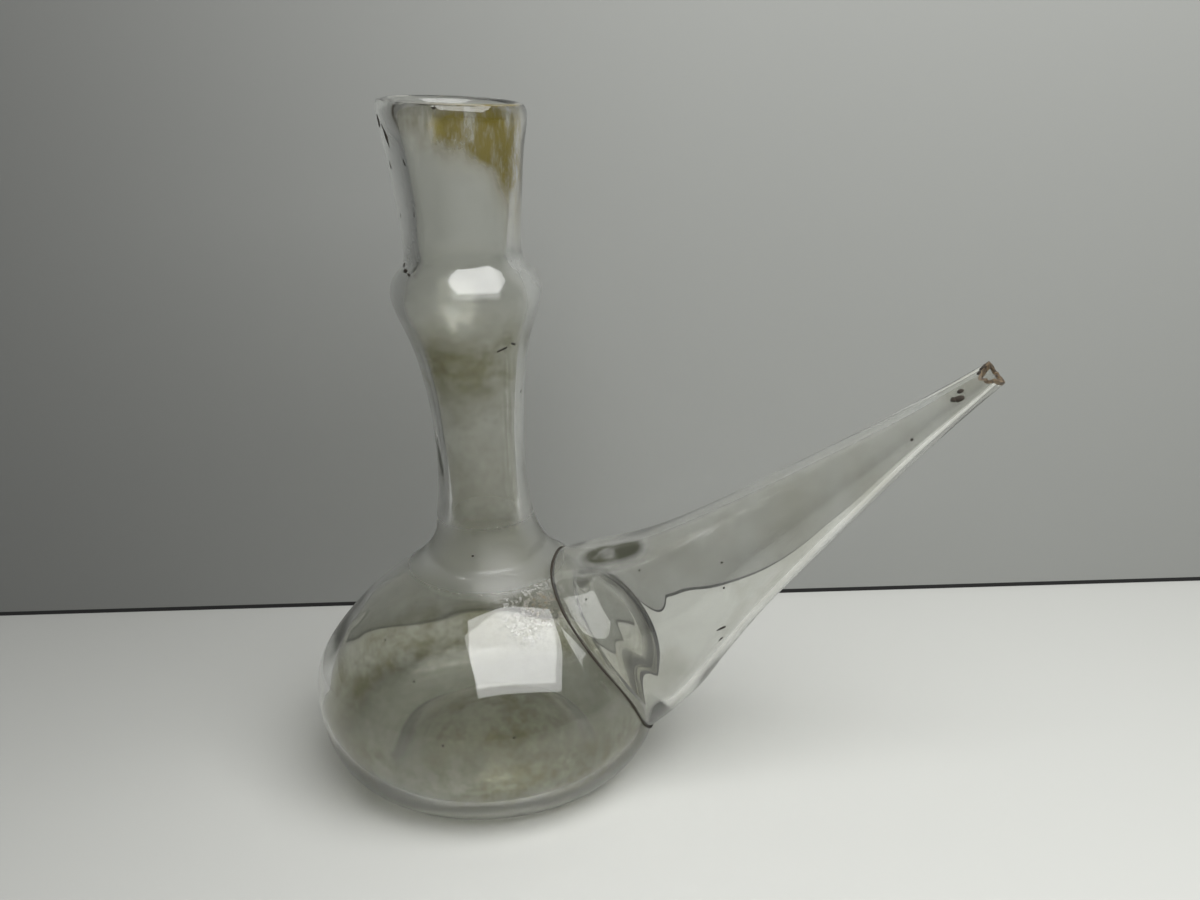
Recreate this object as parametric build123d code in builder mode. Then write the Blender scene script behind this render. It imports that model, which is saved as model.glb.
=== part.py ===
"""Hand-blown glass drinking pitcher of the Spanish porron kind.

A flattened round bowl on a pushed-up base carries a drawn neck with a hollow swelling, a thick
flared mouth and a long tapered spout. Base, bowl, neck and mouth are stages of one blown bubble,
kept as solids that meet face to face. The spout is a second bubble, fused over a hole in the
bowl's side. Nothing moves.
Frame: +Z up, origin at the centre of the resting ring on the table, +X towards the spout's tip.
All sizes are in millimetres.
"""
import os
from math import cos, radians, sin

from build123d import *

# Base
REST_INNER_RADIUS = 41.0     # flat ring that the pitcher stands on
REST_OUTER_RADIUS = 46.0     # base and bowl meet here
KICK_HEIGHT = 16.0           # how far the base is pushed up, outside
BASE_WALL = 4.6

# Bowl
BOWL_RADIUS = 70.4           # widest outside radius of the bowl
BOWL_WIDEST_Z = 36.0         # height of the widest ring
BOWL_WALL = 3.6
HOLE_RADIUS = 29.0           # opening from the bowl into the spout
HOLE_START = 30.0            # the opening is cut between these distances along the spout
HOLE_END = 110.0

# Neck
NECK_Z = 118.0               # bowl and neck meet here, where the neck is narrowest
NECK_RADIUS = 17.3
NECK_BORE = 13.3
NECK_LEAN = 0.8              # degrees that the neck leans away from the spout
NECK_OVERLAP = 2.0           # spare length below the joint, cut off level
SWELL_RADIUS = 28.3          # hollow swelling in the neck
SWELL_WALL = 4.6
SWELL_UP = 77.5              # height of the swelling above the joint, along the neck
SWELL_UP_INSIDE = 76.5       # the hollow is widest a little lower
WAIST_UP = 90.0              # neck and mouth meet at the waist above the swelling
WAIST_RADIUS = 21.8
WAIST_BORE = 17.0

# Mouth
LIP_UP = 147.0               # height of the lip above the bowl's joint, along the neck
LIP_RADIUS = 27.1
LIP_BORE = 21.0              # straight seat for a cork
LIP_BORE_LENGTH = 12.0
LIP_OUTER_ROUND = 2.4        # fire-polished edges
LIP_INNER_ROUND = 0.8

# Spout
SPOUT_START_Z = 11.5         # the spout's axis crosses the bowl's axis here
SPOUT_RISE = 38.7            # degrees above the table
SPOUT_FOOT = 49.0            # first section, inside the bowl's outline
SPOUT_STEP = 25.0

# Base outlines, as (radius, height), between the middle and the resting ring
base_underside = [(0, KICK_HEIGHT), (24.0, 11.5), (REST_INNER_RADIUS, 0)]
base_upside = [(REST_OUTER_RADIUS, BASE_WALL), (26.0, 15.6), (0, KICK_HEIGHT + BASE_WALL)]

# Bowl outlines, as (radius, height), from the resting ring to the widest ring and on to the neck
low_outside = [(REST_OUTER_RADIUS, 0), (57.5, 3.2), (66.0, 14.0), (BOWL_RADIUS, BOWL_WIDEST_Z)]
high_outside = [
    (BOWL_RADIUS, BOWL_WIDEST_Z),
    (62.7, 57.8),
    (41.2, 80.5),
    (22.2, 97.4),
    (NECK_RADIUS, NECK_Z),
]
low_inside = [
    (REST_OUTER_RADIUS, BASE_WALL),
    (56.5, 8.4),
    (63.2, 18.5),
    (BOWL_RADIUS - BOWL_WALL, BOWL_WIDEST_Z),
]
high_inside = [
    (BOWL_RADIUS - BOWL_WALL, BOWL_WIDEST_Z),
    (59.6, 56.2),
    (39.0, 77.8),
    (19.6, 91.5),
    (NECK_BORE, NECK_Z),
]

# Neck and mouth outlines, as (radius, height above the bowl's joint), along the leaning axis
neck_low_outside = [(NECK_RADIUS, 0), (17.5, 26.0), (20.8, 52.5), (SWELL_RADIUS, SWELL_UP)]
neck_high_outside = [(SWELL_RADIUS, SWELL_UP), (25.2, 85.6), (WAIST_RADIUS, WAIST_UP)]
neck_high_inside = [
    (WAIST_BORE, WAIST_UP),
    (20.6, 84.0),
    (SWELL_RADIUS - SWELL_WALL, SWELL_UP_INSIDE),
]
neck_low_inside = [
    (SWELL_RADIUS - SWELL_WALL, SWELL_UP_INSIDE),
    (16.6, 52.5),
    (13.6, 26.0),
    (NECK_BORE, 0),
]
mouth_outside = [
    (WAIST_RADIUS, WAIST_UP),
    (22.7, WAIST_UP + 15),
    (25.8, WAIST_UP + 40),
    (LIP_RADIUS, LIP_UP),
]
mouth_inside = [
    (LIP_BORE, LIP_UP - LIP_BORE_LENGTH),
    (17.6, WAIST_UP + 16),
    (WAIST_BORE, WAIST_UP),
]

# Sections across the spout, as (lift of the centre, upright radius, sideways radius), at even
# steps towards the tip. The foot is taller than it is wide.
spout_outside = [
    (4.5, 42.0, 36.0),
    (3.0, 39.3, 34.6),
    (0.4, 30.8, 30.2),
    (0, 23.7, 23.7),
    (0, 18.9, 18.9),
    (0, 14.7, 14.7),
    (0, 10.7, 10.7),
    (0, 7.3, 7.3),
    (0, 4.8, 4.8),
]
spout_inside = [
    (3.6, 36.0, 31.2),
    (2.2, 34.4, 30.4),
    (0.2, 27.0, 26.6),
    (0, 20.6, 20.6),
    (0, 15.9, 15.9),
    (0, 11.7, 11.7),
    (0, 7.8, 7.8),
    (0, 4.6, 4.6),
    (0, 2.4, 2.4),
]

# Planes and axes
lean = radians(NECK_LEAN)
neck_axis = Axis((0, 0, NECK_Z), (-sin(lean), 0, cos(lean)))
neck_plane = Plane(origin=(0, 0, NECK_Z), x_dir=(cos(lean), 0, sin(lean)), z_dir=(0, -1, 0))
rise = radians(SPOUT_RISE)
spout_across = Plane(
    origin=(0, 0, SPOUT_START_Z),
    x_dir=(-sin(rise), 0, cos(rise)),
    z_dir=(cos(rise), 0, sin(rise)),
)

os.makedirs("parts", exist_ok=True)

# The bowl without its hollow, which trims the spout's foot to the bowl's outside
with BuildPart() as bowl_filled:
    with BuildSketch(Plane.XZ):
        with BuildLine():
            Line((0, 0), (REST_OUTER_RADIUS, 0))
            Spline(low_outside, tangents=[(1, 0.08), (0, 1)])
            Spline(high_outside, tangents=[(0, 1), (0, 1)])
            Polyline((NECK_RADIUS, NECK_Z), (0, NECK_Z), (0, 0))
        make_face()
    revolve(axis=Axis.Z)

# Base: the pushed-up bottom with the ring that the pitcher stands on
with BuildPart() as base:
    with BuildSketch(Plane.XZ):
        with BuildLine():
            Spline(base_underside, tangents=[(1, 0), (1, -0.6)])
            Polyline((REST_INNER_RADIUS, 0), (REST_OUTER_RADIUS, 0), (REST_OUTER_RADIUS, BASE_WALL))
            Spline(base_upside, tangents=[(-1, 0), (-1, 0)])
            Line((0, KICK_HEIGHT + BASE_WALL), (0, KICK_HEIGHT))
        make_face()
    revolve(axis=Axis.Z)
base.part.label = "base"

# Bowl: the blown bulb from the resting ring to the neck, with the hole for the spout
with BuildPart() as bowl:
    with BuildSketch(Plane.XZ):
        with BuildLine():
            Line((REST_OUTER_RADIUS, BASE_WALL), (REST_OUTER_RADIUS, 0))
            Spline(low_outside, tangents=[(1, 0.08), (0, 1)])
            Spline(high_outside, tangents=[(0, 1), (0, 1)])
            Line((NECK_RADIUS, NECK_Z), (NECK_BORE, NECK_Z))
            Spline(high_inside, tangents=[(0, 1), (0, 1)])
            Spline(low_inside, tangents=[(1, 0), (0, 1)])
        make_face()
    revolve(axis=Axis.Z)
    with BuildSketch(spout_across.offset(HOLE_START)):
        Circle(HOLE_RADIUS)
    extrude(amount=HOLE_END - HOLE_START, mode=Mode.SUBTRACT)
bowl.part.label = "bowl"

# Neck: drawn tube that widens into the hollow swelling and closes again to the waist
with BuildPart() as neck:
    with BuildSketch(neck_plane):
        with BuildLine():
            Line((NECK_RADIUS, -NECK_OVERLAP), (NECK_RADIUS, 0))
            Spline(neck_low_outside, tangents=[(0, 1), (0, 1)])
            Spline(neck_high_outside, tangents=[(0, 1), (-0.5, 1)])
            Line((WAIST_RADIUS, WAIST_UP), (WAIST_BORE, WAIST_UP))
            Spline(neck_high_inside, tangents=[(0.5, -1), (0, -1)])
            Spline(neck_low_inside, tangents=[(0, -1), (0, -1)])
            Polyline((NECK_BORE, 0), (NECK_BORE, -NECK_OVERLAP), (NECK_RADIUS, -NECK_OVERLAP))
        make_face()
    revolve(axis=neck_axis)
    split(bisect_by=Plane.XY.offset(NECK_Z), keep=Keep.TOP)
neck.part.label = "neck"

# Mouth: thick flared collar with a straight seat for a cork and a fire-polished lip
with BuildPart() as mouth:
    with BuildSketch(neck_plane) as mouth_half:
        with BuildLine():
            Line((WAIST_BORE, WAIST_UP), (WAIST_RADIUS, WAIST_UP))
            Spline(mouth_outside, tangents=[(0, 1), (0.02, 1)])
            Polyline((LIP_RADIUS, LIP_UP), (LIP_BORE, LIP_UP), (LIP_BORE, LIP_UP - LIP_BORE_LENGTH))
            Spline(mouth_inside, tangents=[(-0.05, -1), (0, -1)])
        make_face()
        lip_corners = mouth_half.vertices().sort_by(Axis((0, 0, 0), (0, 1, 0)))[-2:]
        lip_corners = lip_corners.sort_by(Axis.X)
        fillet(lip_corners[1], LIP_OUTER_ROUND)
        fillet(lip_corners[0], LIP_INNER_ROUND)
    revolve(axis=neck_axis)
mouth.part.label = "mouth"

# Spout: long trumpet-shaped cone, its foot pressed over the hole in the bowl
with BuildPart() as spout:
    for outline, how in ((spout_outside, Mode.ADD), (spout_inside, Mode.SUBTRACT)):
        for step, (lift, upright, sideways) in enumerate(outline):
            with BuildSketch(spout_across.offset(SPOUT_FOOT + step * SPOUT_STEP)):
                with Locations((lift, 0)):
                    Ellipse(upright, sideways)
        loft(mode=how)
    add(bowl_filled.part, mode=Mode.SUBTRACT)
spout.part.label = "spout"

for piece in (base, bowl, neck, mouth, spout):
    export_step(piece.part, f"parts/{piece.part.label}.step")
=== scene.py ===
"""Looks for the blown glass spouted pitcher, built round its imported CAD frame.

Lengths are written in millimetres and turned into metres where a mesh is made. The pitcher stands on
z = 0 with its spout along +X, as in the frame.
"""
import math

import bmesh
import bpy
import numpy as np
from mathutils import Matrix, Vector


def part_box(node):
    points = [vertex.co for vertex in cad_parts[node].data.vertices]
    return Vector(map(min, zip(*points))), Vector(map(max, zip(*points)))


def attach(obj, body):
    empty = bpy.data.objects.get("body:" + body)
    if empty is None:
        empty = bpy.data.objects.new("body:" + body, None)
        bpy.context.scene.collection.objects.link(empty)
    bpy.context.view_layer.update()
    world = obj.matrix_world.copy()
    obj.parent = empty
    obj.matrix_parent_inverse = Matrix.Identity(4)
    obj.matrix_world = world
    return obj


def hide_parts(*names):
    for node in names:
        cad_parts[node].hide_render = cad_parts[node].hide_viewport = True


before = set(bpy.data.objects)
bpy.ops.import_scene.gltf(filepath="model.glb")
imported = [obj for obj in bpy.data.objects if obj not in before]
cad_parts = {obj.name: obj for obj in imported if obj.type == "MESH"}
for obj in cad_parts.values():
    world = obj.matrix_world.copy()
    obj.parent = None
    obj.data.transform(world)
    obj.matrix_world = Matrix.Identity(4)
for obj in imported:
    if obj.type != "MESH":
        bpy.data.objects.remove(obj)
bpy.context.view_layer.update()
MM = 0.001

# ---------------------------------------------------------------- sizes, from the frame
bowl_low, bowl_high = (np.array(c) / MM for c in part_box("bowl"))
mouth_high = np.array(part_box("mouth")[1]) / MM
DRAWN_RADIUS, DRAWN_HEIGHT = 70.4, 266.0     # of the outlines below
WIDE = (bowl_high[1] - bowl_low[1]) / 2 / DRAWN_RADIUS
TALL = mouth_high[2] / DRAWN_HEIGHT

SPOUT_RISE = math.radians(38.7)
SPOUT_START = np.array([0.0, 0.0, 11.5])
SPOUT_ALONG = np.array([math.cos(SPOUT_RISE), 0.0, math.sin(SPOUT_RISE)])
SPOUT_UP = np.array([-math.sin(SPOUT_RISE), 0.0, math.cos(SPOUT_RISE)])
SPOUT_SIDE = np.array([0.0, 1.0, 0.0])
SPOUT_END = 249.0
CAMERA_TURN = math.radians(9.3)      # the camera stands this far round from the spout's side

# ---------------------------------------------------------------- curves and noise
FINE_STEPS = 40                      # points between two given ones while a curve's length is measured


def cubic(points, count):
    """A smooth curve through the points, sampled evenly along its length."""
    p = np.array(points, float)
    t = np.concatenate([[0], np.cumsum(np.linalg.norm(np.diff(p, axis=0), axis=1) ** 0.5)])
    n = len(t)
    h = np.diff(t)
    a = np.zeros((n, n))
    b = np.zeros((n, p.shape[1]))
    a[0, 0] = a[-1, -1] = 1
    for i in range(1, n - 1):
        a[i, i - 1:i + 2] = h[i - 1], 2 * (h[i - 1] + h[i]), h[i]
        b[i] = 6 * ((p[i + 1] - p[i]) / h[i] - (p[i] - p[i - 1]) / h[i - 1])
    m = np.linalg.solve(a, b)

    def at(u):
        i = np.clip(np.searchsorted(t, u, side="right") - 1, 0, n - 2)
        l, r, w = (t[i + 1] - u)[:, None], (u - t[i])[:, None], h[i][:, None]
        return (m[i] * l ** 3 + m[i + 1] * r ** 3) / (6 * w) \
            + (p[i] / w - m[i] * w / 6) * l + (p[i + 1] / w - m[i + 1] * w / 6) * r

    fine = at(np.linspace(0, t[-1], FINE_STEPS * n))
    run = np.concatenate([[0], np.cumsum(np.linalg.norm(np.diff(fine, axis=0), axis=1))])
    want = np.linspace(0, run[-1], count)
    u = np.interp(want, run, np.linspace(0, t[-1], FINE_STEPS * n))
    return at(u)


class Waves:
    """Smooth random unevenness over two numbers, one of them an angle."""

    def __init__(self, seed, turns, length, terms=10):
        rng = np.random.default_rng(seed)
        self.k = rng.integers(1, turns + 1, terms)
        self.f = rng.uniform(0.2, 1.0, terms) * 2 * math.pi / length
        self.p = rng.uniform(0, 2 * math.pi, (terms, 2))
        self.a = rng.normal(0, 1, terms) / math.sqrt(terms)

    def __call__(self, angle, along):
        out = 0.0
        for k, f, p, a in zip(self.k, self.f, self.p, self.a):
            out = out + a * np.cos(k * angle + p[0]) * np.cos(f * along + p[1])
        return out


def smoothstep(x, low, high):
    t = np.clip((x - low) / (high - low), 0, 1)
    return t * t * (3 - 2 * t)


# ---------------------------------------------------------------- the blown vessel
# Half outlines as (radius, height).
OUTSIDE = [
    (0.01, 16.0), (12, 15.0), (23, 11.8), (32, 6.8), (38.5, 2.2), (42.5, 0.2), (44.5, 0.0),
    (47.5, 0.35), (52.5, 1.5), (57.5, 3.5), (62.4, 8.0), (66.3, 14.2), (69.0, 22.5), (70.3, 32),
    (70.2, 41), (67.7, 50), (63.0, 58.6), (57.0, 66.6), (49.6, 74.0), (41.0, 81.2), (32.0, 87.4),
    (25.2, 94.0), (20.9, 102), (18.6, 111), (17.5, 121), (17.2, 132), (17.6, 144.5), (18.8, 157.5),
    (20.9, 170.5), (23.6, 181), (26.7, 189.2), (28.2, 194.6), (28.2, 198.4), (27.0, 202),
    (24.6, 205.2), (22.7, 207.8), (21.95, 210.5), (21.9, 213.5), (22.2, 218), (22.9, 226),
    (24.0, 238), (25.4, 250), (26.6, 257), (27.15, 261), (27.0, 263.8), (26.2, 265.4),
]
INSIDE = [
    (24.6, 266.0), (22.9, 265.3), (22.0, 263.6), (21.6, 261), (21.0, 255), (20.2, 246), (19.3, 236),
    (18.4, 226), (17.7, 218), (17.2, 212), (17.2, 208.5), (18.6, 205), (21.0, 201.6), (22.9, 198),
    (23.5, 194.2), (22.6, 189), (20.1, 181.5), (17.5, 171.5), (15.4, 158.5), (14.2, 145.5),
    (13.6, 132), (13.5, 121), (14.0, 111), (15.3, 102.6), (17.3, 95.6), (19.1, 91.2), (20.0, 89.2),
    (21.0, 88.0), (23.0, 87.2), (28.0, 84.6), (36.5, 79.2), (45.5, 72.4), (53.4, 64.6),
    (59.6, 55.8), (64.2, 46.4), (66.6, 37), (66.7, 28), (64.8, 20), (60.6, 12.8), (54.4, 7.8),
    (48.0, 5.3), (42.2, 5.0), (36.5, 7.6), (29, 12.8), (19, 17.6), (9, 20.1), (0.01, 20.7),
]
TURNS = 224
OUT_ROWS, IN_ROWS = 300, 280

# the hole that leads into the spout, cut between two distances along it
HOLE_RADIUS, HOLE_FROM, HOLE_TO = 29.5, 30.0, 110.0
HOLE_ROUND = 0.5                     # the rim of the hole is melted round
RIM_THINNING, RIM_REACH = 2.6, 9.0   # the wall thins by this much, over this distance from the rim

dent = Waves(11, 3, 160)
ripple_out = Waves(12, 5, 70)
ripple_in = Waves(13, 6, 45)
lip_wave = Waves(14, 3, 500)
RIPPLE_BOWL_OUT, RIPPLE_NECK_OUT = 0.03, 0.08      # how far the walls wander, in mm
RIPPLE_BOWL_IN, RIPPLE_NECK_IN = 0.08, 0.28


def centre_shift(z):
    """Sideways lean of the neck and mouth, towards the camera's right, at a height."""
    return np.interp(z, [0, 60, 100, 115, 150, 190, 225, 266], [0, 0, 0.9, 1.5, 1.0, -0.5, -1.1, -2.1])


DENT = 0.004                         # how far the vessel is out of round, as a share of its radius
FLAT_LEFT = 2.4                      # mm that the left shoulder is flatter
FLAT_LEFT_INSIDE = 0.6               # the inside's share of that
LIP_SLANT, LIP_WAVE = 1.7, 0.35      # mm that the lip rises on the left, and wavers
LEFT_WALL = 1.5                      # mm that the mouth's wall is thicker on the left


def vessel_point(radius, height, angle, inner):
    """Bends a point of the half outline into the uneven handmade shape. All arrays."""
    r, z, a = radius * WIDE, height * TALL, angle
    grow = smoothstep(z, 2, 30)
    view = a - CAMERA_TURN
    r = r * (1 + DENT * dent(a, z) * grow)
    on_neck = smoothstep(z, 88, 112)
    size = RIPPLE_BOWL_OUT + (RIPPLE_NECK_OUT - RIPPLE_BOWL_OUT) * on_neck
    r = r + ripple_out(a, z) * grow * size
    left_low = smoothstep(-np.cos(view), -0.2, 1.0) * smoothstep(z, 45, 66) * (1 - smoothstep(z, 98, 112))
    r = r - FLAT_LEFT * left_low * (FLAT_LEFT_INSIDE if inner else 1.0)
    if inner:
        size = RIPPLE_BOWL_IN + (RIPPLE_NECK_IN - RIPPLE_BOWL_IN) * on_neck
        r = r + size * ripple_in(a, z) * grow * smoothstep(r, 1, 9)
    # the lip rises on the left, and its wall is thick there
    lip = smoothstep(z, 236, 262)
    z = z + lip * (-LIP_SLANT * np.cos(view) + LIP_WAVE * lip_wave(a, z))
    if inner:
        thick = smoothstep(z, 206, 232) * smoothstep(-np.cos(view), 0.1, 1.0)
        r = r - LEFT_WALL * thick
        ahead = r * np.cos(a) * SPOUT_ALONG[0] + (z - SPOUT_START[2]) * SPOUT_ALONG[2]
        above = r * np.cos(a) * SPOUT_UP[0] + (z - SPOUT_START[2]) * SPOUT_UP[2]
        from_axis = np.hypot(above, r * np.sin(a))
        rim_wall = 1 - smoothstep(from_axis, HOLE_RADIUS, HOLE_RADIUS + RIM_REACH)
        r = r + RIM_THINNING * rim_wall * smoothstep(ahead, 25, 40)
    shift = centre_shift(z)
    x = r * np.cos(a) + shift * math.cos(CAMERA_TURN)
    y = r * np.sin(a) + shift * math.sin(CAMERA_TURN)
    return np.stack([x, y, z], -1)


outline_out = cubic(OUTSIDE, OUT_ROWS)
outline_in = cubic(INSIDE, IN_ROWS)


def outside_radius(x, y, z):
    """How far outside the vessel's outer wall a point is, in mm. The pushed-up base doesn't count."""
    angle = np.arctan2(y, x)
    rows = outline_out[np.argmin(outline_out[:, 1]):]
    base = np.interp(z / TALL, rows[:, 1], rows[:, 0])
    p = vessel_point(base, z / TALL, angle, False)
    return np.hypot(x, y) - np.hypot(p[..., 0], p[..., 1])


def ring_mesh(rows, closed=False):
    """Vertices and quads from rows of rings, each row an array of shape (turns, 3)."""
    verts = np.concatenate(rows)
    turns = len(rows[0])
    faces = []
    for j in range(len(rows) - 1 + (1 if closed else 0)):
        k = (j + 1) % len(rows)
        for i in range(turns):
            n = (i + 1) % turns
            faces.append((j * turns + i, j * turns + n, k * turns + n, k * turns + i))
    return verts, faces


def new_object(name, verts, faces, materials, slots=None, smooth=True):
    mesh = bpy.data.meshes.new(name)
    mesh.from_pydata([tuple(v * MM) for v in np.asarray(verts)], [], faces)
    mesh.update()
    for m in materials:
        mesh.materials.append(m)
    if slots is not None:
        mesh.polygons.foreach_set("material_index", np.array(slots, dtype=np.int32))
    mesh.polygons.foreach_set("use_smooth", np.full(len(mesh.polygons), smooth))
    obj = bpy.data.objects.new(name, mesh)
    bpy.context.scene.collection.objects.link(obj)
    return obj


# ---------------------------------------------------------------- materials


class Nodes:
    """Short calls for building a material's node tree."""

    def __init__(self, name):
        self.mat = bpy.data.materials.new(name)
        self.mat.use_nodes = True
        self.tree = self.mat.node_tree
        self.bsdf = self.tree.nodes["Principled BSDF"]
        self.out = self.tree.nodes["Material Output"]
        self.coord = self.tree.nodes.new("ShaderNodeNewGeometry").outputs["Position"]
        self.xyz = None

    def link(self, a, b):
        self.tree.links.new(a, b)

    def put(self, node, name, value):
        socket = node.inputs[name]
        if isinstance(value, bpy.types.NodeSocket):
            self.link(value, socket)
        else:
            socket.default_value = value

    def set(self, **values):
        for key, value in values.items():
            self.put(self.bsdf, key.replace("_", " "), value)

    def stretched(self, scale):
        """The position with each axis multiplied."""
        n = self.tree.nodes.new("ShaderNodeMapping")
        n.vector_type = "POINT"
        self.link(self.coord, n.inputs["Vector"])
        n.inputs["Scale"].default_value = scale
        return n.outputs["Vector"]

    def noise(self, scale, detail=4, rough=0.55, vector=None):
        n = self.tree.nodes.new("ShaderNodeTexNoise")
        self.link(vector or self.coord, n.inputs["Vector"])
        for key, value in (("Scale", scale), ("Detail", detail), ("Roughness", rough)):
            n.inputs[key].default_value = value
        return n.outputs["Fac"]

    def ramp(self, value, low, high, to_low=0.0, to_high=1.0, smooth=True):
        n = self.tree.nodes.new("ShaderNodeMapRange")
        n.interpolation_type = "SMOOTHSTEP" if smooth else "LINEAR"
        self.put(n, "Value", value)
        for key, v in (("From Min", low), ("From Max", high), ("To Min", to_low), ("To Max", to_high)):
            n.inputs[key].default_value = v
        return n.outputs["Result"]

    def math(self, op, a, b):
        """Sums and differences are held between 0 and 1."""
        n = self.tree.nodes.new("ShaderNodeMath")
        n.operation = op
        n.use_clamp = op in ("ADD", "SUBTRACT")
        for i, v in enumerate((a, b)):
            self.put(n, i, v)
        return n.outputs[0]

    def mix(self, factor, a, b):
        n = self.tree.nodes.new("ShaderNodeMix")
        n.data_type = "RGBA"
        sockets = [s for s in n.inputs if s.type == "RGBA"]
        self.put(n, "Factor", factor)
        for s, v in zip(sockets, (a, b)):
            if isinstance(v, bpy.types.NodeSocket):
                self.link(v, s)
            else:
                s.default_value = (*v, 1)
        return [s for s in n.outputs if s.type == "RGBA"][0]

    def axis(self, which):
        if self.xyz is None:
            n = self.tree.nodes.new("ShaderNodeSeparateXYZ")
            self.link(self.coord, n.inputs[0])
            self.xyz = n.outputs
        return self.xyz[which]

    def by_height(self, stops):
        """An amount that changes with height: stops are (height in mm, amount), from the bottom up."""
        top = stops[-1][0]
        ramp = self.tree.nodes.new("ShaderNodeValToRGB")
        self.link(self.ramp(self.axis(2), 0, top * MM, smooth=False), ramp.inputs["Fac"])
        points = ramp.color_ramp.elements
        while len(points) < len(stops):
            points.new(0.5)
        for point, (height, amount) in zip(points, stops):
            point.position = height / top
            point.color = (amount, amount, amount, 1)
        return ramp.outputs["Color"]

    def near(self, point, radius, soft=0.5):
        """1 inside a ball round a point given in mm, falling to 0 at its radius."""
        n = self.tree.nodes.new("ShaderNodeVectorMath")
        n.operation = "DISTANCE"
        self.link(self.coord, n.inputs[0])
        n.inputs[1].default_value = [v * MM for v in point]
        return self.ramp(n.outputs["Value"], radius * MM * (1 - soft), radius * MM, 1.0, 0.0)

    def bump(self, height, strength, distance):
        n = self.tree.nodes.new("ShaderNodeBump")
        n.inputs["Strength"].default_value = strength
        n.inputs["Distance"].default_value = distance
        self.link(height, n.inputs["Height"])
        self.link(n.outputs["Normal"], self.bsdf.inputs["Normal"])


GLASS_IOR = 1.5


CLEAR = (0.965, 0.972, 0.962)
BODY_CLEAR = (0.950, 0.955, 0.905)
SPOUT_CLEAR = (0.90, 0.905, 0.88)
FILM = (0.20, 0.185, 0.035)
STAIN = (0.20, 0.150, 0.012)
GRIME = (0.10, 0.075, 0.035)
BLOT = (0.085, 0.088, 0.060)


def seen_from_camera(x, y, z):
    """Turns a place given with x to the camera's right and y away from it into the frame, in mm."""
    c, s = math.cos(CAMERA_TURN), math.sin(CAMERA_TURN)
    return (c * x - s * y, s * x + c * y, z)


# (height, roughness) of the outside, dull at the resting ring and in the hollows of the neck
SHOULDER_HAZE = [
    (0, 0.22), (7, 0.18), (15, 0.0), (82, 0.0), (90, 0.50), (102, 0.45), (114, 0.0), (168, 0.0),
    (180, 0.24), (184, 0.20), (191, 0.0), (270, 0.0),
]
# (place seen from the camera, radius) of the grime beside the seam
GRIME_PATCHES = [((29.4, -30.4, 81.7), 15), ((19, -39, 81), 17)]


def outer_glass():
    n = Nodes("glass_outside")
    wear = n.ramp(n.noise(170, 6, 0.7), 0.60, 0.78)
    fine = n.ramp(n.noise(900, 3, 0.6), 0.62, 0.72)
    speckle = n.ramp(n.noise(620, 8, 0.85), 0.515, 0.56)
    at_seam, in_shine = (
        n.math("MULTIPLY", n.near(seen_from_camera(*place), radius, 0.9), speckle)
        for place, radius in GRIME_PATCHES
    )
    grime = n.math("ADD", at_seam, n.math("MULTIPLY", in_shine, 0.8))
    n.set(Base_Color=n.mix(grime, CLEAR, GRIME), IOR=GLASS_IOR)
    n.set(Transmission_Weight=n.ramp(grime, 0, 1, 1.0, 0.15, smooth=False))
    worn = n.math("MULTIPLY", n.math("ADD", wear, n.math("MULTIPLY", fine, 0.5)), 0.06)
    n.set(Roughness=n.math("ADD", worn, n.by_height(SHOULDER_HAZE)))
    return n.mat


# (height, roughness) of the filmed inside wall: dull low in the bowl and where the neck begins
WALL_HAZE = [
    (0, 0.16), (32, 0.13), (48, 0.03), (84, 0.03), (90, 0.20), (104, 0.18), (120, 0.05), (180, 0.07),
    (188, 0.20), (204, 0.20), (216, 0.08), (270, 0.08),
]
# (place seen from the camera, radius, strength) of the brown stains inside the mouth
STAINS = [
    (16, -14, 260, 21, 0.9), (18, -11, 248, 19, 0.9), (4, -20, 255, 20, 0.7), (-7, -20, 259, 16, 0.5),
    (20, -6, 234, 17, 0.8), (21, -2, 219, 14, 0.65), (-16, -14, 262, 10, 0.5),
]


# (height, amount) of the film inside
FILM_AMOUNT = [
    (0, 0.30), (8, 0.34), (16, 0.95), (32, 0.88), (46, 0.40), (60, 0.28), (84, 0.50),
    (104, 0.52), (140, 0.56), (157, 0.70), (164, 1.0), (176, 1.0), (184, 0.62), (190, 0.22),
    (202, 0.12), (235, 0.10), (270, 0.08),
]


def film_glass():
    """The inside of the vessel: an olive-grey film, thick in the bowl, and stains in the mouth."""
    n = Nodes("glass_inside_film")
    amount = n.by_height(FILM_AMOUNT)
    cloud = n.ramp(n.noise(30, 6, 0.62), 0.38, 0.60, 0.50, 1.0)
    fine = n.ramp(n.noise(240, 5, 0.65), 0.35, 0.65, 0.85, 1.0)
    film = n.math("MULTIPLY", amount, n.math("MULTIPLY", cloud, fine))
    edge = n.ramp(n.noise(150, 7, 0.75, n.stretched((1, 1, 0.35))), 0.18, 0.56)
    stain = 0.0
    for x, y, z, radius, strength in STAINS:
        patch = n.math("MULTIPLY", n.near(seen_from_camera(x, y, z), radius, 0.85), strength)
        stain = n.math("ADD", stain, patch)
    stain = n.math("MULTIPLY", stain, edge)
    colour = n.mix(stain, n.mix(film, BODY_CLEAR, FILM), STAIN)
    n.set(Base_Color=colour, IOR=GLASS_IOR, Specular_IOR_Level=0.15)
    cover = n.math("ADD", n.math("MULTIPLY", film, 0.22), n.math("MULTIPLY", stain, 0.5))
    n.set(Transmission_Weight=n.math("SUBTRACT", 1.0, cover))
    n.set(Roughness=n.by_height(WALL_HAZE))
    return n.mat


# (distance along, across, up, radius) of the dull olive blots on the spout
SPOUT_BLOTS = [(86, -8, 33, 9), (93, -9, 31, 10), (101, -9, 28, 9)]


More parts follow.
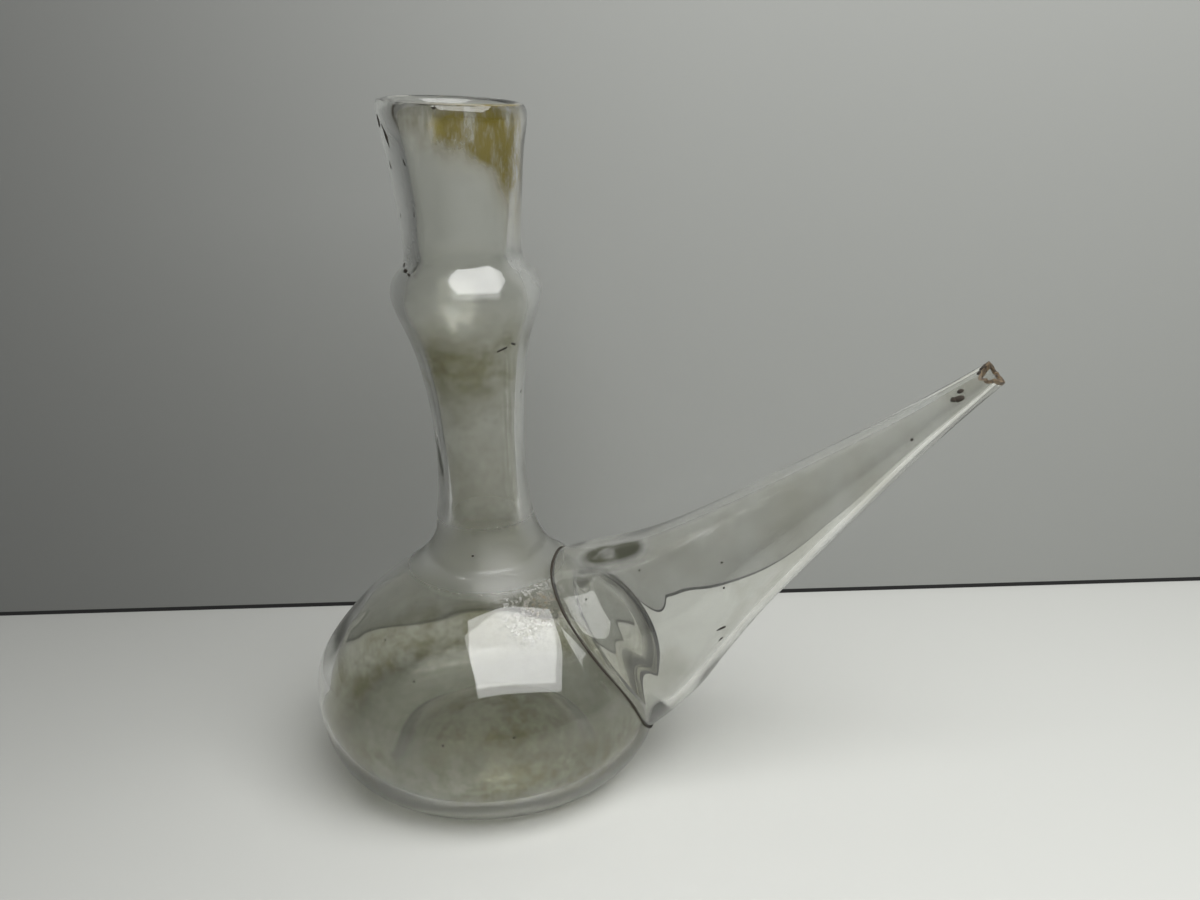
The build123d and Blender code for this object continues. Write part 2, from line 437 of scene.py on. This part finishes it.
def spout_material():
    n = Nodes("glass_spout")
    haze = n.ramp(n.noise(30, 4, 0.6), 0.4, 0.7, 0.0, 0.22)
    broken = n.ramp(n.noise(90, 5, 0.65), 0.30, 0.52, 0.35, 1.0)
    blots = 0.0
    for along, across, up, radius in SPOUT_BLOTS:
        place = SPOUT_START + SPOUT_ALONG * along + SPOUT_SIDE * across + SPOUT_UP * up
        blots = n.math("ADD", blots, n.near(place, radius, 0.7))
    blots = n.math("MULTIPLY", blots, broken)
    n.set(Base_Color=n.mix(blots, n.mix(haze, SPOUT_CLEAR, FILM), BLOT), IOR=GLASS_IOR)
    cover = n.math("ADD", n.math("MULTIPLY", haze, 0.17), n.math("MULTIPLY", blots, 0.35))
    n.set(Transmission_Weight=n.math("SUBTRACT", 0.97, cover))
    n.set(Roughness=n.ramp(n.noise(500, 5, 0.65), 0.58, 0.75, 0.0, 0.05))
    return n.mat


def dirt_material():
    n = Nodes("packed_dirt")
    n.set(Base_Color=n.mix(n.noise(700, 4), (0.006, 0.005, 0.004), (0.035, 0.025, 0.014)), Roughness=0.85)
    n.bump(n.noise(1500, 4), 0.6, 0.0003)
    return n.mat


def chipped_edge():
    n = Nodes("stained_chip")
    n.set(Base_Color=n.mix(n.ramp(n.noise(900, 4), 0.4, 0.65), (0.16, 0.11, 0.06), (0.03, 0.02, 0.012)))
    n.set(Roughness=0.4, Transmission_Weight=0.35, IOR=GLASS_IOR)
    n.bump(n.noise(1800, 4), 0.5, 0.0004)
    return n.mat


GLASS_OUT = outer_glass()
GLASS_FILM = film_glass()
GLASS_SPOUT = spout_material()
DIRT = dirt_material()
CHIP = chipped_edge()

# ---------------------------------------------------------------- vessel mesh
angles = np.linspace(0, 2 * math.pi, TURNS, endpoint=False)
rows = [vessel_point(np.full(TURNS, r), np.full(TURNS, z), angles, False) for r, z in outline_out]
rows += [vessel_point(np.full(TURNS, r), np.full(TURNS, z), angles, True) for r, z in outline_in]
verts, faces = ring_mesh(rows)
last = (len(rows) - 1) * TURNS
verts = np.concatenate([verts, [rows[0].mean(0)], [rows[-1].mean(0)]])
low_pole, high_pole = len(verts) - 2, len(verts) - 1
slots = [0] * ((OUT_ROWS - 1) * TURNS) + [1] * (len(faces) - (OUT_ROWS - 1) * TURNS)
for i in range(TURNS):
    faces.append((low_pole, (i + 1) % TURNS, i))
    slots.append(0)
for i in range(TURNS):
    faces.append((high_pole, last + i, last + (i + 1) % TURNS))
    slots.append(1)
vessel = new_object("blown_vessel", verts, faces, [GLASS_OUT, GLASS_FILM], slots)


def cutter(name, start, end, radius, turns=160):
    """A closed cylinder round the spout's axis, between two distances along it."""
    ring = np.linspace(0, 2 * math.pi, turns, endpoint=False)
    circle = np.outer(np.cos(ring), SPOUT_UP) * radius + np.outer(np.sin(ring), SPOUT_SIDE) * radius
    a = SPOUT_START + SPOUT_ALONG * start + circle
    b = SPOUT_START + SPOUT_ALONG * end + circle
    v, f = ring_mesh([a, b])
    f.append(tuple(range(turns))[::-1])
    f.append(tuple(range(turns, 2 * turns)))
    return new_object(name, v, f, [GLASS_OUT])


def fix_normals(obj):
    bm = bmesh.new()
    bm.from_mesh(obj.data)
    bmesh.ops.recalc_face_normals(bm, faces=bm.faces)
    bm.to_mesh(obj.data)
    bm.free()


fix_normals(vessel)
hole_tool = cutter("hole_tool", HOLE_FROM, HOLE_TO, HOLE_RADIUS)
fix_normals(hole_tool)
mod = vessel.modifiers.new("hole", "BOOLEAN")
mod.object, mod.operation, mod.solver = hole_tool, "DIFFERENCE", "EXACT"
rim = vessel.modifiers.new("rim", "BEVEL")
rim.width, rim.segments = HOLE_ROUND * MM, 4
rim.limit_method, rim.angle_limit = "ANGLE", math.radians(50)
applied = bpy.data.meshes.new_from_object(vessel.evaluated_get(bpy.context.evaluated_depsgraph_get()))
vessel.modifiers.clear()
vessel.data = applied
bpy.data.objects.remove(hole_tool)
vessel.data.set_sharp_from_angle(angle=math.radians(40))

# ---------------------------------------------------------------- spout mesh
# (distance along, lift of the centre, upright radius, sideways radius)
SPOUT_OUT = [
    (40, 5.0, 43.5, 37.0), (52, 4.4, 41.9, 35.9), (63, 3.8, 40.8, 35.3), (72, 3.1, 39.5, 34.7),
    (80, 2.2, 37.6, 33.8), (89, 1.1, 34.7, 32.6), (99, 0.4, 30.9, 30.2), (111, 0, 27.1, 27.0),
    (124, 0, 23.8, 23.8), (137, 0, 21.1, 21.1), (150, 0, 18.8, 18.8), (163, 0, 16.6, 16.6),
    (176, 0, 14.4, 14.4), (189, 0, 12.3, 12.3), (202, 0, 10.3, 10.3), (215, 0, 8.5, 8.5),
    (228, 0, 6.9, 6.9), (240, 0, 5.6, 5.6), (249, 0, 4.85, 4.85), (256, 0, 4.4, 4.4),
]
SPOUT_IN = [
    (40, 4.0, 37.5, 32.4), (52, 3.5, 36.0, 31.6), (63, 3.0, 35.4, 31.2), (72, 2.4, 34.6, 30.8),
    (80, 1.7, 33.0, 29.8), (89, 0.8, 30.4, 28.6), (99, 0.2, 27.2, 26.6), (111, 0, 23.8, 23.7),
    (124, 0, 20.7, 20.7), (137, 0, 18.1, 18.1), (150, 0, 15.8, 15.8), (163, 0, 13.5, 13.5),
    (176, 0, 11.4, 11.4), (189, 0, 9.3, 9.3), (202, 0, 7.4, 7.4), (215, 0, 5.6, 5.6),
    (228, 0, 4.2, 4.2), (240, 0, 3.1, 3.1), (249, 0, 2.4, 2.4), (256, 0, 2.0, 2.0),
]
SPOUT_TURNS, SPOUT_ROWS, TABLE_ROWS, FOOT_ROWS = 168, 240, 600, 8
SPOUT_DENT = 0.006                   # how far the spout is out of round, as a share of its radius
SPOUT_RIPPLE_OUT, SPOUT_RIPPLE_IN = 0.05, 0.06     # how far its walls wander, in mm
FOOT_FROM, FOOT_TO = 42.0, 110.0     # the foot starts between these distances along the spout
FOOT_GAP = 0.12                      # mm that the foot's outer edge stands off the bowl
THIN_FOOT, THIN_OVER = 0.75, 14.0    # the wall thins to a quarter where it meets the bowl
CHIP_TURN, CHIP_DEPTH, CHIP_WIDTH = math.radians(-60), 4.2, 0.75     # one large chip; its width in radians
TIP_JAGS, TIP_LOSS = 0.8, 0.4        # mm that the broken tip wavers, and has lost all round
TIP_SLOPE, TIP_ROUND = 0.6, 0.35     # mm that its inner edge stands back, and its end bulges
spout_out_table = cubic(SPOUT_OUT, TABLE_ROWS)
spout_in_table = cubic(SPOUT_IN, TABLE_ROWS)
spout_dent = Waves(21, 3, 140)
spout_ripple = Waves(22, 5, 50)
chip_wave = Waves(23, 9, 900, 24)


def spout_point(table, along, turn, uneven):
    """A point on the spout's wall. Angle 0 of the turn is the upper side."""
    lift, up, side = (np.interp(along, table[:, 0], table[:, k]) for k in (1, 2, 3))
    grow = 1 + SPOUT_DENT * spout_dent(turn, along)
    up = up * grow + uneven * spout_ripple(turn, along)
    side = side * grow + uneven * spout_ripple(turn, along)
    return SPOUT_START + np.multiply.outer(along, SPOUT_ALONG) \
        + np.multiply.outer(lift + up * np.cos(turn), SPOUT_UP) \
        + np.multiply.outer(side * np.sin(turn), SPOUT_SIDE)


def foot_start(table, turn, uneven, gap):
    """Distance along the spout where its wall leaves the bowl's outside, for each angle."""
    low, high = np.full_like(turn, FOOT_FROM), np.full_like(turn, FOOT_TO)
    for _ in range(40):
        mid = (low + high) / 2
        p = spout_point(table, mid, turn, uneven)
        inside = outside_radius(p[:, 0], p[:, 1], p[:, 2]) < gap
        low, high = np.where(inside, mid, low), np.where(inside, high, mid)
    return high


spout_turn = np.linspace(0, 2 * math.pi, SPOUT_TURNS, endpoint=False)
start_out = foot_start(spout_out_table, spout_turn, SPOUT_RIPPLE_OUT, FOOT_GAP)
chip = np.exp(-((np.angle(np.exp(1j * (spout_turn - CHIP_TURN)))) / CHIP_WIDTH) ** 2)
tip = SPOUT_END - TIP_JAGS * np.abs(chip_wave(spout_turn, 0)) - TIP_LOSS - CHIP_DEPTH * chip
steps = np.linspace(0, 1, SPOUT_ROWS)
out_rows = []
for s in steps:
    along = start_out + (tip - start_out) * s
    out_rows.append(spout_point(spout_out_table, along, spout_turn, SPOUT_RIPPLE_OUT))
in_rows = []
for s in steps[::-1]:
    along = start_out + (tip - TIP_SLOPE - start_out) * s
    wall_in = spout_point(spout_in_table, along, spout_turn, SPOUT_RIPPLE_IN)
    wall_out = spout_point(spout_out_table, along, spout_turn, SPOUT_RIPPLE_OUT)
    thin = THIN_FOOT * (1 - smoothstep(along - start_out, 0, THIN_OVER))
    in_rows.append(wall_in + (wall_out - wall_in) * thin[:, None])
end_rows = []
for t in (0.25, 0.5, 0.75):
    bulge = SPOUT_ALONG * TIP_ROUND * math.sin(math.pi * t)
    end_rows.append(out_rows[-1] * (1 - t) + in_rows[0] * t + bulge)
foot_rows = []                       # they lie on the bowl, between the foot's inner and outer edge
for t in np.linspace(0, 1, FOOT_ROWS)[1:-1]:
    p = in_rows[-1] * (1 - t) + out_rows[0] * t
    for _ in range(3):
        d = outside_radius(p[:, 0], p[:, 1], p[:, 2]) - FOOT_GAP
        level = np.hypot(p[:, 0], p[:, 1])
        p = p - np.stack([p[:, 0] / level, p[:, 1] / level, 0 * level], -1) * d[:, None]
    foot_rows.append(p)
all_rows = out_rows + end_rows + in_rows + foot_rows
verts, faces = ring_mesh(all_rows, closed=True)
broken = range(len(out_rows) - 3, len(out_rows) + len(end_rows) + 1)     # rows with the stained edge
spout_slots = [1 if i // SPOUT_TURNS in broken else 0 for i in range(len(faces))]
spout = new_object("spout_cone", verts, faces, [GLASS_SPOUT, CHIP], spout_slots)
fix_normals(spout)
spout.data.set_sharp_from_angle(angle=math.radians(45))

# ---------------------------------------------------------------- dirt in the crevice round the foot
SEAM_TURNS = 8                       # points round the bead of dirt
SEAM_WIDTH, SEAM_UNEVEN, SEAM_LEAST, SEAM_MOST = 0.42, 0.20, 0.16, 0.95     # half its width, in mm
SEAM_OUT, SEAM_UP, SEAM_FLAT = 0.25, 0.1, 0.8      # mm that it stands off the seam, and how flat it is
seam_bulge = Waves(31, 12, 900, 24)
seam = out_rows[0]
out_dir = (out_rows[1] - out_rows[0])
out_dir /= np.linalg.norm(out_dir, axis=1)[:, None]
centre = seam.mean(0)
away = seam - centre
away -= np.outer(away @ SPOUT_ALONG, SPOUT_ALONG) * 0.6
away /= np.linalg.norm(away, axis=1)[:, None]
width = np.clip(SEAM_WIDTH + SEAM_UNEVEN * seam_bulge(spout_turn, 0), SEAM_LEAST, SEAM_MOST)
seam_rows = []
for k in range(SEAM_TURNS):
    c = 2 * math.pi * k / SEAM_TURNS
    outwards = away * (SEAM_OUT + math.cos(c) * width)[:, None]
    seam_rows.append(seam + outwards + out_dir * (SEAM_UP + math.sin(c) * width * SEAM_FLAT)[:, None])
verts, faces = ring_mesh(seam_rows, closed=True)
seam_dirt = new_object("seam_dirt", verts, faces, [DIRT])
fix_normals(seam_dirt)

# ---------------------------------------------------------------- specks and crumbs
# (place seen from the camera, half length, half width, tilt in degrees), on the vessel's outer wall
VESSEL_SPECKS = [
    ((-2.2, -24.0, 97.3), 0.5, 0.4, 20), ((-12.1, -68.9, 43.1), 0.55, 0.4, 70),
    ((-23.6, -56.4, 61.8), 0.5, 0.4, 10), ((13.7, -68.1, 45.0), 0.55, 0.45, 40),
    ((-38.1, -39.2, 70.1), 0.5, 0.4, -30), ((-22.6, -13.5, 254.5), 4.2, 0.75, -58),
    ((-24.5, -10.5, 259.5), 2.4, 0.7, -62), ((-23.4, -11.0, 244.0), 1.3, 0.5, -70),
    ((-22.0, -11.0, 226.0), 0.9, 0.4, -80), ((13.2, -18.3, 177.3), 2.4, 0.42, 14),
    ((17.0, -15.0, 178.6), 1.3, 0.38, -25), ((-20.2, -11.3, 206.0), 1.8, 0.9, 10),
    ((-21.8, -8.4, 207.4), 1.1, 0.8, 60), ((-17.8, -14.3, 205.2), 1.1, 0.6, -20),
    ((-15.2, -8.2, 140.0), 1.0, 0.4, 80), ((17.6, -6.0, 158.0), 0.8, 0.6, 30),
    ((-5.0, -27.0, 264.0), 0.8, 0.5, 0),
]
# (distance along the spout, turn in degrees, half length, half width), on the spout's outer wall
SPOUT_SPECKS = [
    (113, -121, 1.9, 0.6), (109.5, -130, 1.1, 0.5), (129.6, -72, 0.5, 0.4), (124.5, -92, 0.5, 0.4),
    (232.6, -73, 2.0, 1.1), (234.6, -55, 1.3, 0.8), (231.0, -66, 1.1, 0.9), (211, -89, 0.6, 0.5),
    (245.5, -15, 1.5, 0.9), (243.5, -32, 1.0, 0.7), (102, -42, 0.5, 0.4), (80, -49, 0.5, 0.4),
]
BURIED = 0.15                        # a speck's middle lies this far inside the surface, in mm
SPECK_FLAT, SPECK_UNEVEN = 0.45, 0.25      # height as a share of its width, and how ragged its rings are
speck_rng = np.random.default_rng(41)


def blob(centre, out, long, half_long, half_wide):
    """An uneven flattened lump that lies on a wall: out points away from it, long along the lump."""
    across = np.cross(out, long)
    ring, turns = [], 10
    for level in np.linspace(-0.92, 0.92, 6):
        around = np.linspace(0, 2 * math.pi, turns, endpoint=False)
        size = math.sqrt(1 - level ** 2) * speck_rng.uniform(1 - SPECK_UNEVEN, 1 + SPECK_UNEVEN, turns)
        ring.append(centre + out * (level * half_wide * SPECK_FLAT)
                    + np.outer(np.cos(around) * size, long) * half_long
                    + np.outer(np.sin(around) * size, across) * half_wide)
    v, f = ring_mesh(ring)
    f.append(tuple(range(turns))[::-1])
    f.append(tuple(range(len(v) - turns, len(v))))
    return v, f


def unit(v):
    """The vector at length 1."""
    return v / np.linalg.norm(v)


def lumps(name, lump_list):
    """One dirt mesh from many lumps."""
    verts, faces = [], []
    for v, f in lump_list:
        start = sum(len(part) for part in verts)
        faces += [tuple(i + start for i in face) for face in f]
        verts.append(v)
    obj = new_object(name, np.concatenate(verts), faces, [DIRT])
    fix_normals(obj)
    return obj


vessel_lumps = []
for place, half_long, half_wide, tilt in VESSEL_SPECKS:
    x, y, z = seen_from_camera(*place)
    out = unit(np.array([x, y, 0.0]))
    outside = outside_radius(np.array([x]), np.array([y]), np.array([z]))[0]
    on_wall = np.array([x, y, z]) - out * (outside + BURIED)
    tilt = math.radians(tilt)
    slant = np.array([-out[1] * math.cos(tilt), out[0] * math.cos(tilt), math.sin(tilt)])
    vessel_lumps.append(blob(on_wall, out, slant, half_long, half_wide))
vessel_specks = lumps("vessel_specks", vessel_lumps)

spout_lumps = []
for along, turn, half_long, half_wide in SPOUT_SPECKS:
    turn = np.array([math.radians(turn)])
    on_wall = spout_point(spout_out_table, np.array([float(along)]), turn, 0.05)[0]
    out = unit(SPOUT_UP * math.cos(turn[0]) + SPOUT_SIDE * math.sin(turn[0]))
    slant = unit(SPOUT_ALONG + 0.5 * speck_rng.uniform(-1, 1) * np.cross(out, SPOUT_ALONG))
    spout_lumps.append(blob(on_wall - out * BURIED, out, slant, half_long, half_wide))
spout_specks = lumps("spout_specks", spout_lumps)

# ---------------------------------------------------------------- who stands for what
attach(vessel, "root")
body_nodes = [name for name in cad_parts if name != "spout"]
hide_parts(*body_nodes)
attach(spout, "root")
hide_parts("spout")
for dirt in (seam_dirt, vessel_specks, spout_specks):
    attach(dirt, "root")

# ---------------------------------------------------------------- table, wall, lights, camera
TURN = Matrix.Rotation(CAMERA_TURN, 4, "Z")


def plane(name, corners, material):
    obj = new_object(name, np.array(corners, float), [tuple(range(len(corners)))], [material], smooth=False)
    obj.matrix_world = TURN


def stage_material(name, colour, rough, painted_left_shade):
    """A matt surface that can be seen only from its front, so that no view is blocked by its back.
    It is darker on the left, by the given share: painted shade that stands in for the light falling off
    towards the left."""
    n = Nodes(name)
    # painted shade: the base colour darkens towards the left to stand in for the light falling off there
    dark = [c * painted_left_shade for c in colour]
    n.set(Base_Color=n.mix(n.ramp(n.axis(0), -0.34, 0.10), dark, colour), Roughness=rough)
    geo = n.tree.nodes.new("ShaderNodeNewGeometry")
    clear = n.tree.nodes.new("ShaderNodeBsdfTransparent")
    both = n.tree.nodes.new("ShaderNodeMixShader")
    n.link(geo.outputs["Backfacing"], both.inputs[0])
    n.link(n.bsdf.outputs[0], both.inputs[1])
    n.link(clear.outputs[0], both.inputs[2])
    n.link(both.outputs[0], n.out.inputs["Surface"])
    return n.mat


TABLE_END, GAP = 144.0, 2.2          # the wall stands just behind the bowl, above a near-black strip that is painted shade for the gap between table and wall
ROOM, WALL_TOP = 1600.0, 1500.0
# the last number darkens the left side of the table and the wall: painted shade for the light's falloff
WHITE = stage_material("table_white", (0.49, 0.495, 0.47), 0.55, 0.78)
GREY = stage_material("wall_grey", (0.27, 0.276, 0.262), 0.7, 0.54)
# painted shade: a near-black matt strip stands in for the shade inside the gap between table and wall
GAP_PAINTED_SHADE = stage_material("gap_painted_shade", (0.01, 0.01, 0.01), 0.9, 1.0)
plane("table", [(-ROOM, -ROOM, 0), (ROOM, -ROOM, 0), (ROOM, ROOM, 0), (-ROOM, ROOM, 0)], WHITE)
for name, low, high, material in (("wall", GAP, WALL_TOP, GREY), ("gap", 0, GAP, GAP_PAINTED_SHADE)):
    upright = [(-ROOM, low), (ROOM, low), (ROOM, high), (-ROOM, high)]
    plane(name, [(x, TABLE_END, z) for x, z in upright], material)


def softbox(name, look, towards, side, distance, width, depth, watts):
    """A rectangular light that faces a point, with one of its edges along a given direction."""
    light = bpy.data.lights.new(name, "AREA")
    light.shape, light.size, light.size_y, light.energy = "RECTANGLE", width * MM, depth * MM, watts
    z = Vector(towards).normalized()
    x = (Vector(side) - Vector(side).dot(z) * z).normalized()
    y = z.cross(x)
    at = (Vector(look) + z * distance) * MM
    obj = bpy.data.objects.new(name, light)
    obj.matrix_world = TURN @ Matrix.Translation(at) @ Matrix((x, y, z)).transposed().to_4x4()
    bpy.context.scene.collection.objects.link(obj)


softbox(
    "key", look=(14, -51, 72), towards=(0.286, -0.408, 0.867), side=(0.94, 0.33, -0.16),
    distance=800, width=910, depth=740, watts=13,
)
ROOM_LIGHT, ROOM_STRENGTH = (0.60, 0.62, 0.62, 1), 0.085
world = bpy.data.worlds.new("room")
world.use_nodes = True
world.node_tree.nodes["Background"].inputs["Color"].default_value = ROOM_LIGHT
world.node_tree.nodes["Background"].inputs["Strength"].default_value = ROOM_STRENGTH
bpy.context.scene.world = world

CAMERA_AT = (47.9, -470.1, 288.3)
CAMERA_DOWN, CAMERA_ROLL = math.radians(18.47), math.radians(1.68)
LENS, SENSOR = 37.95, 36.0
camera_data = bpy.data.cameras.new("camera")
camera_data.sensor_width, camera_data.lens = SENSOR, LENS
camera_data.clip_start, camera_data.clip_end = 0.01, 20
camera = bpy.data.objects.new("camera", camera_data)
bpy.context.scene.collection.objects.link(camera)
camera.matrix_world = TURN @ Matrix.Translation(Vector(CAMERA_AT) * MM) \
    @ Matrix.Rotation(math.pi / 2 - CAMERA_DOWN, 4, "X") @ Matrix.Rotation(-CAMERA_ROLL, 4, "Z")
bpy.context.scene.camera = camera

scene = bpy.context.scene
scene.view_settings.view_transform = "Standard"
scene.cycles.max_bounces = 24
scene.cycles.transmission_bounces = 24
scene.cycles.glossy_bounces = 8
scene.cycles.transparent_max_bounces = 16
scene.cycles.blur_glossy = 0.3
